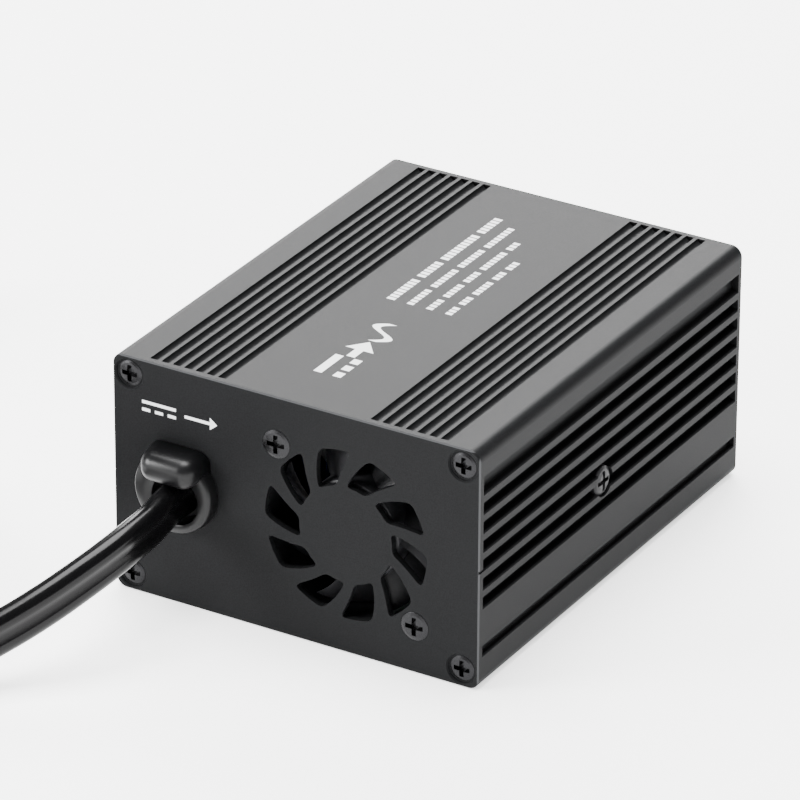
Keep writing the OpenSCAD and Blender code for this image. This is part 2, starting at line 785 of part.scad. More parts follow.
module usb_tongues() {
  color([0.9, 0.9, 0.9]) translate([usb_at.x, 0, usb_at[1]])
    for (s = [-1, 1]) box([-5.6, rear_y - 16, s * 3.9 - 0.1], [5.6, rear_y - 2, s * 3.9 + 1.8]);
}

module usb_board() {
  color([0.1, 0.34, 0.17]) translate([usb_at.x, 0, usb_at[1]])
    box([-12, rear_y - 26, -9.6], [12, rear_y - plate_t - 0.5, -8]);
}

// Three-pin outlet: two upright blade slots and a round earth hole below them

module outlet_cavities() {
  for (s = [-1, 1]) {
    h = s < 0 ? 8.2 : 6.6;
    box([s * blade_gap / 2 - 0.9, -30, blade_z - h / 2], [s * blade_gap / 2 + 0.9, 5, blade_z + h / 2]);
    box([s * blade_gap / 2 - 2, -21, blade_z - 4.6], [s * blade_gap / 2 + 2, -2.5, blade_z + 4.6]);
  }
  rod_y(0, blade_z - earth_drop, -30, 35, 2.6);
  rod_y(0, blade_z - earth_drop, -21, 18.5, 3.3);
}

module ac_outlet_body() {
  color([0.9, 0.9, 0.88]) translate([outlet_at.x, rear_y, outlet_at[1]]) difference() {
    union() {
      section_y(0, 1) rounded_rect(36, 30, 3);
      box([-16, -20, -13], [16, 0, 13]);
    }
    outlet_cavities();
  }
}

module ac_outlet_contacts() {
  color([0.85, 0.7, 0.35]) translate([outlet_at.x, rear_y, outlet_at[1]]) {
    for (s = [-1, 1], t = [-1, 1]) box([s * blade_gap / 2 + t * 1.6 - 0.4, -24, blade_z - 3.8],
      [s * blade_gap / 2 + t * 1.6 + 0.4, -3.5, blade_z + 3.8]);
    for (s = [-1, 1])
      box([s * blade_gap / 2 - 2, -24.6, blade_z - 3.8], [s * blade_gap / 2 + 2, -24, blade_z + 3.8]);
    translate([0, 0, blade_z - earth_drop]) along_y(-24) ring(0, 20.5, 2.7, 3.2);
  }
}

module status_led() {
  color([0.1, 0.6, 0.15]) translate([led_at.x, 0, led_at[1]]) {
    along_y(rear_y - 4) cylinder(h = 4.2, r = 1.5);
    translate([0, rear_y + 0.2, 0]) sphere(1.5);
    along_y(rear_y - 5) cylinder(h = 1.4, r = 1.9);
  }
}

module switch_housing() {
  color([0.07, 0.07, 0.07]) translate([switch_at.x, rear_y, switch_at[1]]) difference() {
    union() {
      section_y(0, 2) rounded_rect(21, 15, 1);
      box([-9.4, -15, -6.4], [9.4, 0, 6.4]);
    }
    box([-8.6, -7.5, -5.6], [8.6, 3, 5.6]);
    translate([0, -2, -6]) cylinder(h = 12, r = 1.25);
  }
}

module switch_rocker() {
  color([0.5, 0.05, 0.04]) translate([switch_at.x, pivot_y, switch_at[1]]) rotate([0, 0, rest_tilt]) {
    translate([0, 0, -5.3]) linear_extrude(10.6)
      polygon([[-7.7, -0.5], [-3, -3], [3, -3], [7.7, -0.5], [7.7, 4], [0, 3.2], [-7.7, 4]]);
    translate([0, 0, -5.95]) cylinder(h = 11.9, r = 1.2);
  }
}

module switch_terminals() {
  color([0.85, 0.8, 0.6]) for (s = [-1, 1]) translate([switch_at.x + s * 3.8, rear_y - 23, switch_at[1]])
    box([-0.4, 0, -2.4], [0.4, 9, 2.4]);
}

case_extrusion();
front_plate();
rear_plate();
front_corner_screws();
rear_corner_screws();
fan_screws();
fan_nuts();
side_screws();
fan_frame();
fan_impeller();
fan_magnet_ring();
fan_shaft();
fan_bearing();
fan_stator_core();
fan_windings();
fan_circuit_board();
fan_lead_red();
fan_lead_black();
cord_bush_body();
cord_bush_wedge();
dc_cord();
cord_coil();
cord_tail();
cord_tie();
plug_body_lower();
plug_body_upper();
plug_strain_relief();
plug_nose_cap();
plug_tip_contact();
plug_spring();
plug_fuse();
plug_side_contact_left();
plug_side_contact_right();
plug_screw();
main_board();
input_wire_red();
input_wire_black();
board_fuse();
input_capacitors();
transformer_core();
transformer_winding();
transformer_bobbin();
hv_capacitor();
input_mosfets();
output_mosfets();
mosfet_clamps();
insulator_pads();
choke_core();
choke_winding();
control_chips();
usb_board();
usb_shells();
usb_tongues();
ac_outlet_body();
ac_outlet_contacts();
status_led();
switch_housing();
switch_rocker();
switch_terminals();
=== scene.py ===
# %% [markdown]
# # A small car power inverter
# A finned metal box turns a car's 12 V into mains power. The exact parts come packed from CAD as a
# fixed frame. This script adds what CAD holds only roughly, such as the lead with its two cores and the
# moulded bush that grips it, and gives every part its finish.

# %% Load the frame
import json
import math

import bmesh
import bpy
from mathutils import Matrix, Vector


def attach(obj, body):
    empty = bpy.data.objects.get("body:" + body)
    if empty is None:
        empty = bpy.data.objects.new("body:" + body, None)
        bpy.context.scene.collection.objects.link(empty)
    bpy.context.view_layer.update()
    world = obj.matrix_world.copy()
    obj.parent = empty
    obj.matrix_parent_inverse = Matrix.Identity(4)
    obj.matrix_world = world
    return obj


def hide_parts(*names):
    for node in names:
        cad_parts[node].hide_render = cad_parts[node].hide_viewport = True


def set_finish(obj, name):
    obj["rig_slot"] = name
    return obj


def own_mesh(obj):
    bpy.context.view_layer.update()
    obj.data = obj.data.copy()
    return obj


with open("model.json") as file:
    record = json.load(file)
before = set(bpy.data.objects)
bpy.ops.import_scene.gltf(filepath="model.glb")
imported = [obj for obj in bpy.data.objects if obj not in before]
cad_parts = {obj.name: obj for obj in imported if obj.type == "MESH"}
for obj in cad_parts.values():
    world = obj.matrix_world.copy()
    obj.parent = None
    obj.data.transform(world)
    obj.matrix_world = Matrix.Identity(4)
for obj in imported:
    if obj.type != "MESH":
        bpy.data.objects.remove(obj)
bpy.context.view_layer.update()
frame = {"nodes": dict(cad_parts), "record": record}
MM = 0.001
ROOT = "inverter"

# %% [markdown]
# ## The camera
# The view is a long lens from the front right, 27 degrees above the table. Its rotation is built from
# the direction that points back at the viewer, so each column of the matrix is one axis of the camera.

# %% Camera
AZIMUTH, ELEVATION, ROLL = (math.radians(a) for a in (30.618, 27.076, 0.27))
CAMERA_AT = Vector((0.60234, -1.03071, 0.64003))
LENS = 294.8


def camera_axes():
    back = Vector((math.sin(AZIMUTH) * math.cos(ELEVATION), -math.cos(AZIMUTH) * math.cos(ELEVATION),
                   math.sin(ELEVATION)))
    right = Vector((0, 0, 1)).cross(back).normalized()
    up = back.cross(right)
    level_right = right * math.cos(ROLL) + up * math.sin(ROLL)
    level_up = up * math.cos(ROLL) - right * math.sin(ROLL)
    return Matrix((level_right, level_up, back)).transposed()


camera_data = bpy.data.cameras.new("camera")
camera_data.lens = LENS
camera_data.sensor_width = 36
camera_data.clip_end = 20
camera = bpy.data.objects.new("camera", camera_data)
camera.matrix_world = Matrix.Translation(CAMERA_AT) @ camera_axes().to_4x4()
bpy.context.collection.objects.link(camera)
bpy.context.scene.camera = camera
print("camera", round(CAMERA_AT.length, 3), "m from the case")

# %% [markdown]
# ## The lead's route
# The lead leaves the bush, bends down under its own weight and reaches the table. The length that is spare
# is wound into a flat spiral coil, with the lead standing on its edge, and its tail rises over the turns to
# the plug. Listed points carry the two loose stretches and a loop works out the turns.

# %% Route
CORD_W, CORD_T = 9.3 * MM, 5 * MM
COIL_AT = Vector((-106, -102))
COIL_R, COIL_PITCH, COIL_TURNS, COIL_FROM = 51, 5.2, 2.083, -30
LIE_Z = 5.15
PLUG_X = -154
loose_route = [(-26.3, -47, 25.2), (-26.3, -53, 25.2), (-26.3, -58, 25.2), (-26.1, -62.5, 24.6),
               (-26, -66.7, 23.9), (-26.5, -71.3, 23.1), (-27.3, -75.6, 22.1), (-28.8, -80.6, 20.5),
               (-30.6, -85.1, 18.8), (-32.6, -89.2, 17), (-34.8, -93.1, 15.2), (-37.2, -96.8, 13.4),
               (-39.7, -100.3, 11.7), (-43.1, -104.7, 9.6), (-46.9, -109, 8), (-50.9, -113.4, 6.6),
               (-54.8, -117.8, 5.7), (-58.5, -122.5, 5.2), (-61.8, -127.5, LIE_Z)]
tail_polar = [(-60, 40.2, LIE_Z), (-75, 40, 6.2), (-90, 39.8, 8.7), (-105, 39.6, 11.5), (-120, 39.8, 13.7),
              (-135, 40.8, 14.6), (-150, 42.8, 14.8), (-165, 45.3, 14.8), (-180, 47.6, 14.8)]
tail_end = [(PLUG_X, -92, 14.7), (PLUG_X, -84, 14), (PLUG_X, -77, 12.6), (PLUG_X, -70, 11.4),
            (PLUG_X, -62, 11), (PLUG_X, -56, 11)]
COIL_STEP = 15


def round_coil(angle, radius, height):
    a = math.radians(angle)
    return (COIL_AT.x + radius * math.cos(a), COIL_AT.y + radius * math.sin(a), height)


coil_steps = round(COIL_TURNS * 360 / COIL_STEP)
coil = [round_coil(COIL_FROM - COIL_STEP * i, COIL_R - COIL_PITCH * COIL_STEP * i / 360, LIE_Z)
        for i in range(1, coil_steps)]
tail = [round_coil(*point) for point in tail_polar] + tail_end
route = [Vector(point) * MM for point in loose_route + coil + tail]


def smooth_line(points, steps=4):
    """The points joined by one smooth curve that passes through each of them."""
    line = []
    padded = [2 * points[0] - points[1], *points, 2 * points[-1] - points[-2]]
    for before, start, end, after in zip(padded, padded[1:], padded[2:], padded[3:]):
        for step in range(steps):
            t = step / steps
            line.append(0.5 * (2 * start + (end - before) * t
                               + (2 * before - 5 * start + 4 * end - after) * t ** 2
                               + (3 * start - before - 3 * end + after) * t ** 3))
    return line + [points[-1]]


def length_of(line):
    """How long a run of points is, in metres."""
    return sum((b - a).length for a, b in zip(line, line[1:]))


centreline = smooth_line(route)
print("lead", round(length_of(centreline), 3), "m in", len(centreline), "points")

# %% [markdown]
# ## Sweeping the lead
# The lead is two round cores side by side with a shallow valley between them. A section is carried along
# the centreline, always with its long side upright, and neighbouring sections are bridged.

# %% Cord mesh
CORE_R = CORD_T / 2
CORE_X = (CORD_W - CORD_T) / 2
VALLEY = 0.62  # how far an arc runs on into the valley, as the cosine of its end


def core_section(sides=14):
    """Across and up, round both cores: each core gives the arc that faces away from the other."""
    reach = math.acos(-VALLEY)
    arc = [reach - 2 * reach * i / (sides - 1) for i in range(sides)]
    upper = [(CORE_R * math.sin(a), CORE_X + CORE_R * math.cos(a)) for a in arc]
    lower = [(-across, -up) for across, up in upper]
    return upper + lower


def sweep(name, line, section, reference=(0, 0, 1)):
    """A closed tube: a ring of vertices at each point of the line, bridged to the next.
    The section's second direction stays as near to the reference as it can."""
    upright = Vector(reference)
    bm = bmesh.new()
    rings = []
    for i, here in enumerate(line):
        along = (line[min(i + 1, len(line) - 1)] - line[max(i - 1, 0)]).normalized()
        up = (upright - upright.dot(along) * along).normalized()
        side = along.cross(up)
        ring = [bm.verts.new(here + side * x + up * y) for x, y in section]
        edges = [bm.edges.new((a, b)) for a, b in zip(ring, ring[1:] + ring[:1])]
        if rings:
            bmesh.ops.bridge_loops(bm, edges=rings[-1] + edges)
        rings.append(edges)
    for edges in (rings[0], rings[-1]):
        bmesh.ops.contextual_create(bm, geom=edges)
    bmesh.ops.recalc_face_normals(bm, faces=bm.faces)
    return piece_from(bm, name)


def piece_from(bm, name, smooth=True):
    mesh = bpy.data.meshes.new(name)
    bm.to_mesh(mesh)
    bm.free()
    for face in mesh.polygons:
        face.use_smooth = smooth
    obj = bpy.data.objects.new(name, mesh)
    bpy.context.collection.objects.link(obj)
    return obj


lead = sweep("lead", centreline, core_section())
print("lead mesh", len(lead.data.polygons), "faces")

# %% [markdown]
# ## The moulded pieces
# The bush is a round collar with an eccentric hole, and a rounded thumb above the hole presses on the
# lead. Its collar is a run of circles, each bridged to the next. The strain relief of the plug is made
# the same way, with a dip between one rib and the next, and the fan's blades are curved sheets.

# %% Rings
CREASE = math.radians(38)  # a sharper edge than this stays sharp under smooth shading


def circle_ring(bm, centre, radius, sides=72):
    """A loop of edges in an upright plane; centre is X, Y and Z in millimetres."""
    ring = []
    for i in range(sides):
        a = 2 * math.pi * i / sides
        offset = Vector((radius * math.cos(a), 0, radius * math.sin(a)))
        ring.append(bm.verts.new((Vector(centre) + offset) * MM))
    return [bm.edges.new((a, b)) for a, b in zip(ring, ring[1:] + ring[:1])]


def lathe(name, rings):
    """A closed solid through a run of circles, flat at both ends."""
    bm = bmesh.new()
    loops = [circle_ring(bm, centre, radius) for centre, radius in rings]
    for first, second in zip(loops, loops[1:]):
        bmesh.ops.bridge_loops(bm, edges=first + second)
    for loop in (loops[0], loops[-1]):
        bmesh.ops.contextual_create(bm, geom=loop)
    bmesh.ops.recalc_face_normals(bm, faces=bm.faces)
    piece = piece_from(bm, name)
    piece.data.set_sharp_from_angle(angle=CREASE)
    return piece


print("rings are bridged in pairs, with a crease at", round(math.degrees(CREASE)), "degrees")

# %% Bush
BUSH_X, BUSH_Z = -27, 26.5
HOLE_X, HOLE_Z = -26.3, 25.2
PLATE_Y = -54
THUMB_X, THUMB_UNDER = BUSH_X + 0.4, 29.7
THUMB_W, THUMB_OUT, THUMB_H = 14.2, 7.1, 6.5
THUMB_TAPER, THUMB_SAG, THUMB_ROUND = 0.84, 0.3, 2.8
collar_outline = [(-47, 7.9), (-53.9, 7.9), (-53.95, 9.2), (-54.6, 9.25), (-56.2, 9.05), (-56.8, 8.8),
                  (-57.1, 8.4)]
hole_outline = [(-57.1, 5.9), (-56.9, 5.5), (-56.3, 5.3), (-52.5, 5.2)]
collar = lathe("bush_collar", [((BUSH_X, y, BUSH_Z), r) for y, r in collar_outline]
               + [((HOLE_X, y, HOLE_Z), r) for y, r in hole_outline])
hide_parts("cord_bush_body")


def bush_thumb():
    """A block that narrows and sags towards its front, with all edges rounded but those on the plate."""
    bm = bmesh.new()
    bmesh.ops.create_cube(bm, size=1)
    for vert in bm.verts:
        narrow, sag = (THUMB_TAPER, THUMB_SAG) if vert.co.y < 0 else (1, 0)
        vert.co = Vector((THUMB_X + vert.co.x * THUMB_W * narrow,
                          PLATE_Y - THUMB_OUT / 2 + vert.co.y * THUMB_OUT,
                          THUMB_UNDER + THUMB_H / 2 + vert.co.z * THUMB_H - sag)) * MM
    on_plate = (PLATE_Y - 0.1) * MM
    rounded = [e for e in bm.edges if not all(v.co.y > on_plate for v in e.verts)]
    bmesh.ops.bevel(bm, geom=rounded, offset=THUMB_ROUND * MM, segments=9, profile=0.5, affect="EDGES",
                    material=-1, clamp_overlap=True)
    bmesh.ops.recalc_face_normals(bm, faces=bm.faces)
    return piece_from(bm, "bush_thumb")


thumb = bush_thumb()
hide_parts("cord_bush_wedge")
print("bush", len(collar.data.polygons), len(thumb.data.polygons), "faces")

# %% [markdown]
# ## The plug's sleeve and spring
# A rubber sleeve keeps the lead from bending sharply where it enters the plug, and its ribs let it flex.
# One outline that climbs, dips and climbs again becomes all the ribs. The spring behind the plug's tip is
# a round wire swept along a helix; each turn is made of short straight steps.

# %% Strain relief
PLUG_REAR, PLUG_Z = -69, 11
RIBS, RIB_PITCH, RIB_HEIGHT = 6, 3, 0.55
FIRST_RIB_R, RIB_GROWTH = 5.75, 0.27
# One rib, as steps along the plug and outwards from the rib's own radius
RIB_STEPS = ((0, -RIB_HEIGHT), (0.35, 0), (1.9, 0.1), (2.25, 0.1 - RIB_HEIGHT))
relief_outline = [(PLUG_REAR, 5.4)]
for rib in range(RIBS):
    start = PLUG_REAR + 1 + rib * RIB_PITCH
    radius = FIRST_RIB_R + RIB_GROWTH * rib
    relief_outline += [(start + along, radius + out) for along, out in RIB_STEPS]
relief_outline += [(PLUG_REAR + 20, 7.5), (PLUG_REAR + 26, 5)]
relief = lathe("plug_relief", [((PLUG_X, y, PLUG_Z), r) for y, r in relief_outline])
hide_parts("plug_strain_relief")
print("sleeve", RIBS, "ribs,", len(relief.data.polygons), "faces")

# %% Spring behind the tip
SPRING_FROM, SPRING_TO, SPRING_R, WIRE_R, SPRING_TURNS = 3.65, 10.75, 3.3, 0.35, 5
STEPS_A_TURN, WIRE_SIDES = 24, 10
helix_steps = SPRING_TURNS * STEPS_A_TURN
helix = []
for step in range(helix_steps + 1):
    a = 2 * math.pi * step / STEPS_A_TURN
    y = SPRING_FROM + (SPRING_TO - SPRING_FROM) * step / helix_steps
    helix.append(Vector((PLUG_X + SPRING_R * math.cos(a), y, PLUG_Z + SPRING_R * math.sin(a))) * MM)
wire_section = [(WIRE_R * MM * math.cos(a), WIRE_R * MM * math.sin(a))
                for a in (2 * math.pi * i / WIRE_SIDES for i in range(WIRE_SIDES))]
spring = sweep("tip_spring", helix, wire_section, reference=(0, 1, 0))
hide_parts("plug_spring")
print("spring", SPRING_TURNS, "turns,", len(spring.data.polygons), "faces")

# %% [markdown]
# ## The tie
# A plastic tie holds the turns of the lead together. It is a strip with thinned edges, so a six-sided
# section goes round a rectangle with rounded corners and the last ring is bridged back to the first. A
# bevelled cube is the lock.

# %% Tie
TIE_ANGLE = math.radians(80)
TIE_W, TIE_T, TIE_THINNED = 2.0, 0.25, 0.2  # half the width, half the thickness and the thinned margin
TIE_IN, TIE_OUT, TIE_LOW, TIE_TOP = 37.2, 53.7, 0.25, 10.05
TIE_CORNER, CORNER_STEPS = 2, 4
LOCK_LENGTH, LOCK_W, LOCK_H = 4, 4.6, 1.9
LOCK_BACK, LOCK_DROP, LOCK_ROUND = 4, 0.7, 0.4


def tie_band():
    """A thin flat band round the turns, with its small square lock on the outer side."""
    inner, outer = TIE_IN + TIE_CORNER, TIE_OUT - TIE_CORNER
    low, high = TIE_LOW + TIE_CORNER, TIE_TOP - TIE_CORNER
    corners = ((outer, high), (inner, high), (inner, low), (outer, low))
    path = []
    for quarter, (centre_r, centre_z) in enumerate(corners):
        for step in range(CORNER_STEPS + 1):
            a = math.radians(90 * (quarter + step / CORNER_STEPS))
            path.append((centre_r + TIE_CORNER * math.cos(a), centre_z + TIE_CORNER * math.sin(a), a))
    flat = TIE_W - TIE_THINNED
    section = ((TIE_T, flat), (TIE_T, -flat), (0, -TIE_W), (-TIE_T, -flat), (-TIE_T, flat), (0, TIE_W))
    out = Vector((math.cos(TIE_ANGLE), math.sin(TIE_ANGLE), 0))
    side = Vector((-out.y, out.x, 0))
    middle = Vector((COIL_AT.x, COIL_AT.y, 0))
    bm = bmesh.new()
    loops = []
    for radius, height, turn in path:
        normal = out * math.cos(turn) + Vector((0, 0, math.sin(turn)))
        here = middle + out * radius + Vector((0, 0, height))
        ring = [bm.verts.new((here + normal * n + side * w) * MM) for n, w in section]
        loops.append([bm.edges.new((a, b)) for a, b in zip(ring, ring[1:] + ring[:1])])
    for first, second in zip(loops, loops[1:] + loops[:1]):
        bmesh.ops.bridge_loops(bm, edges=first + second)
    lock = bmesh.ops.create_cube(bm, size=1)["verts"]
    for vert in lock:
        local = vert.co.copy()
        vert.co = (middle + out * (TIE_OUT - LOCK_BACK + local.x * LOCK_LENGTH) + side * local.y * LOCK_W
                   + Vector((0, 0, TIE_TOP - LOCK_DROP + local.z * LOCK_H))) * MM
    bmesh.ops.bevel(bm, geom=list({e for v in lock for e in v.link_edges}), offset=LOCK_ROUND * MM,
                    segments=3, profile=0.5, affect="EDGES", material=-1)
    bmesh.ops.recalc_face_normals(bm, faces=bm.faces)
    piece = piece_from(bm, "tie")
    piece.data.set_sharp_from_angle(angle=CREASE)
    return piece


tie = tie_band()
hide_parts("cord_tie")
print("tie", len(tie.data.polygons), "faces")

# %% [markdown]
# ## The fan
# Behind the grille sits a rotor with seven curved blades, of which slivers show through the slots. A blade
# is a small grid of faces bent round the hub. Solidify is meant to give it a wall, but faces that were only
# just made have no normals yet, so it moves nothing and leaves two skins on one another. A call of
# bm.normal_update() before it would open the wall. The hub is a cup, so its outline of circles runs over
# the outside and back along the inside.

# %% Fan
FAN_X, FAN_Z, FAN_FRONT = 11.9, 26.5, -52.5
BLADES = 7
HUB_R, TIP_R = 11.2, 18.3
BLADE_CELLS, BLADE_WALL, BLADE_SUNK = 8, 0.8, 0.4  # the wall is meant to be 0.8 and comes out as 0
BLADE_SWEEP, BLADE_ARC, BLADE_ARC_LOSS = -14, 38, 5  # degrees round the hub
BLADE_FRONT, BLADE_DEPTH, BLADE_CURL = 1, 6, 1.25


def fan_blade(bm, start):
    """A curved sheet from hub to tip, swept back and narrower towards the tip."""
    steps = range(BLADE_CELLS + 1)
    grid = []
    for i in steps:
        u = i / BLADE_CELLS
        radius = HUB_R - BLADE_SUNK + u * (TIP_R - HUB_R + BLADE_SUNK)
        row = []
        for j in steps:
            v = j / BLADE_CELLS
            angle = start + math.radians(BLADE_SWEEP * u + (BLADE_ARC - BLADE_ARC_LOSS * u) * v)
            depth = BLADE_FRONT + BLADE_DEPTH * v ** BLADE_CURL
            row.append(bm.verts.new(Vector((FAN_X + radius * math.cos(angle), FAN_FRONT + depth,
                                            FAN_Z + radius * math.sin(angle))) * MM))
        grid.append(row)
    return [bm.faces.new((grid[i][j], grid[i + 1][j], grid[i + 1][j + 1], grid[i][j + 1]))
            for i in range(BLADE_CELLS) for j in range(BLADE_CELLS)]


def impeller():
    """The blades round their hub, as one piece."""
    bm = bmesh.new()
    faces = [face for k in range(BLADES) for face in fan_blade(bm, 2 * math.pi * k / BLADES)]
    bmesh.ops.solidify(bm, geom=faces, thickness=BLADE_WALL * MM)
    outside = [(7.3, 10.4), (7.3, HUB_R), (1.5, HUB_R), (0.8, 10.9), (0.5, 10.2), (0.5, 0.02)]
    inside = [(1.6, 0.02), (1.6, 10.3)]
    loops = [circle_ring(bm, (FAN_X, FAN_FRONT + depth, FAN_Z), r) for depth, r in outside + inside]
    for first, second in zip(loops, loops[1:] + loops[:1]):
        bmesh.ops.bridge_loops(bm, edges=first + second)
    bmesh.ops.recalc_face_normals(bm, faces=bm.faces)
    piece = piece_from(bm, "impeller")
    piece.data.set_sharp_from_angle(angle=CREASE)
    return piece


fan = impeller()
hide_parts("fan_impeller")
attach(fan, "fan_rotor")
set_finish(fan, "grey_plastic")
print("fan", len(fan.data.polygons), "faces")

# %% [markdown]
# ## Bodies, slots and the cord
# Each made piece rides on the body that carries the node it stands for, and takes a finish by its slot's
# name.

# %% Ride on the case
for piece, slot_name in ((collar, "black_gloss_plastic"), (thumb, "black_gloss_plastic"),
                         (relief, "cord_pvc"), (tie, "black_insulation"), (spring, "zinc_steel")):
    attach(piece, ROOT)
    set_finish(piece, slot_name)
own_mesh(spring)
print("on the case", [piece.name for piece in (collar, thumb, relief, tie, spring)])

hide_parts("dc_cord", "cord_coil", "cord_tail")
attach(lead, ROOT)
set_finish(lead, "cord_pvc")
length_of(centreline)

# %% [markdown]
# ## Sums on shader sockets
# A material is a small sum over places on the surface. This class wraps a socket, so that a plain
# Python expression adds the Math nodes, and one method makes any other node.

# %% Shader sums


class Value:
    """A node's output that can be used in sums."""

    def __init__(self, tree, socket):
        self.tree = tree
        self.socket = socket

    def node(self, kind, settings=None, output=0, **inputs):
        return make_node(self.tree, kind, settings, output, **inputs)

    def math(self, operation, *others):
        inputs = {str(i): value for i, value in enumerate((self, *others))}
        return self.node("ShaderNodeMath", {"operation": operation}, **inputs)

    def __add__(self, other):
        return self.math("ADD", other)

    __radd__ = __add__

    def __mul__(self, other):
        return self.math("MULTIPLY", other)

    __rmul__ = __mul__

    def __sub__(self, other):
        return self.math("SUBTRACT", other)

    def __rsub__(self, other):
        return (self * -1) + other

    def __abs__(self):
        return self.math("ABSOLUTE")


def make_node(tree, kind, settings=None, output=0, **inputs):
    """A node with its settings first, then its sockets by number or by name with _ for a space."""
    node = tree.nodes.new(kind)
    for name, setting in (settings or {}).items():
        setattr(node, name, setting)
    for name, value in inputs.items():
        target = node.inputs[int(name)] if name.isdigit() else node.inputs[name.replace("_", " ")]
        if isinstance(value, Value):
            tree.links.new(value.socket, target)
        else:
            target.default_value = value
    return Value(tree, node.outputs[output])


print("sums on sockets ready")

# %% Starting a material
NOISE_ROUGHNESS = 0.55


class Finish:
    """A material with its shader, the place on the surface and a few patterns."""

    def __init__(self, name, color, roughness, metallic=0.0, coat=0.0, **plain):
        self.material = bpy.data.materials.new(name)
        self.material.use_nodes = True
        self.tree = self.material.node_tree
        self.shader = next(n for n in self.tree.nodes if n.type == "BSDF_PRINCIPLED")
        self.color = (*color, 1)
        self.set("Base Color", self.color)
        self.set("Roughness", roughness)
        self.set("Metallic", metallic)
        self.set("Coat Weight", coat)
        for socket, value in plain.items():
            self.set(socket.replace("_", " "), value)

    def set(self, socket, value):
        if isinstance(value, Value):
            self.tree.links.new(value.socket, self.shader.inputs[socket])
        else:
            self.shader.inputs[socket].default_value = value

    def node(self, kind, settings=None, output=0, **inputs):
        return make_node(self.tree, kind, settings, output, **inputs)

    def place(self):
        return self.node("ShaderNodeTexCoord", output=3)

    def axes(self):
        """X, Y and Z on the piece, in millimetres."""
        parts = self.node("ShaderNodeSeparateXYZ", Vector=self.place()).socket.node
        return [Value(self.tree, parts.outputs[i]) * 1000 for i in range(3)]

    def facing_y(self):
        """The Y part of the direction that the surface faces: -1 at the front, 1 at the rear."""
        normal = self.node("ShaderNodeNewGeometry", output=1)
        return self.node("ShaderNodeSeparateXYZ", output=1, Vector=normal)

    def noise(self, per_mm, detail=3.0, stretch=(1, 1, 1)):
        mapped = self.node("ShaderNodeMapping", Vector=self.place(), Scale=stretch)
        return self.node("ShaderNodeTexNoise", Vector=mapped, Scale=per_mm * 1000, Detail=detail,
                         Roughness=NOISE_ROUGHNESS)

    def mix(self, factor, first, second):
        inputs = {"0": factor, "6": first, "7": second}
        return self.node("ShaderNodeMix", {"data_type": "RGBA"}, output=2, **inputs)

    def between(self, value, low, high, to_low=0.0, to_high=1.0):
        inputs = {"0": value, "1": low, "2": high, "3": to_low, "4": to_high}
        return self.node("ShaderNodeMapRange", {"clamp": True}, **inputs)

    def bump(self, height, depth_mm, strength):
        normal = self.node("ShaderNodeBump", Height=height, Distance=depth_mm * MM, Strength=strength)
        self.set("Normal", normal)

    def tone(self, pattern, low, high):
        """The base colour made darker and lighter by a pattern."""
        dark = tuple(c * low for c in self.color[:3]) + (1,)
        light = tuple(c * high for c in self.color[:3]) + (1,)
        return self.mix(pattern, dark, light)


print("shader helpers ready")

# %% [markdown]
# ## Dark satin metal
# The extruded case and its end plates are anodised or sprayed dark grey with a very fine sparkle. The
# sparkle is a noise a fraction of a millimetre across that changes the colour, the gloss and, slightly, the
# slope of the surface. The bevel along the plates' rims is painted a lighter, half-metallic colour as a
# painted highlight.

# %% Case metal
PAINT = (0.0072, 0.0074, 0.0078)
PRINT_WHITE = (0.74, 0.745, 0.75, 1)
# A painted highlight: the lighter colour put on the plates' bevel along the rim
EDGE_PAINTED_HIGHLIGHT = (0.05, 0.051, 0.053, 1)


def satin_metal(name):
    """The dark paint with its sparkle; the caller may print on its colour."""
    finish = Finish(name, PAINT, 0.42, Specular_IOR_Level=0.034)
    grain = finish.noise(3.2, detail=2)
    cloud = finish.noise(0.05, detail=3)
    shade = finish.between(grain, 0.3, 0.7) * 0.75 + cloud * 0.25
    finish.metal_colour = finish.tone(shade, 0.72, 1.34)
    finish.set("Base Color", finish.metal_colour)
    finish.set("Roughness", finish.between(grain, 0.3, 0.7, 0.36, 0.5))
    finish.bump(grain, 0.012, 0.5)
    return finish


print("paint", PAINT, "and print", PRINT_WHITE[:3])

# %% [markdown]
# ## Printed signs
# The white print is flat ink, so it is a change of colour and not a shape. Each sign is a sum of masks in
# millimetres, 1 on the ink and 0 off it: direct current in, alternating current out, and rows of dashes
# in the place of words.

# %% Signs
INK_SOFT = 0.05  # half the width over which the ink's edge fades, in millimetres
DC_DASH, DC_STEP = 0.24, 0.38  # as shares of the sign's length
ARROW_SLOPE, ARROW_HEAD = 0.8, 0.6


def within(finish, distance, limit):
    """1 where a distance is under the limit."""
    return finish.between(distance, limit - INK_SOFT, limit + INK_SOFT, 1, 0)


def bar(finish, x, y, centre, size):
    """1 inside a rectangle in the plane of x and y."""
    across = within(finish, abs(x - centre[0]), size[0] / 2)
    along = within(finish, abs(y - centre[1]), size[1] / 2)
    return across * along


def joined(masks):
    """1 wherever any of the masks is."""
    total = masks[0]
    for mask in masks[1:]:
        total = total.math("MAXIMUM", mask)
    return total


def direct_current_sign(finish, x, y, centre, size, line):
    """A long line over three short ones."""
    length, height = size
    signs = [bar(finish, x, y, (centre[0], centre[1] + height / 2), (length, line))]
    for k in (-1, 0, 1):
        signs.append(bar(finish, x, y, (centre[0] + k * length * DC_STEP, centre[1] - height / 2),
                         (length * DC_DASH, line)))
    return joined(signs)


def alternating_current_sign(finish, x, y, centre, length, height, line):
    """One wave of a sine curve."""
    wave = ((x - centre[0]) * (2 * math.pi / length)).math("SINE") * (height / 2)
    near = within(finish, abs(y - centre[1] - wave), line / 2)
    return near * bar(finish, x, y, centre, (length, height * 2))


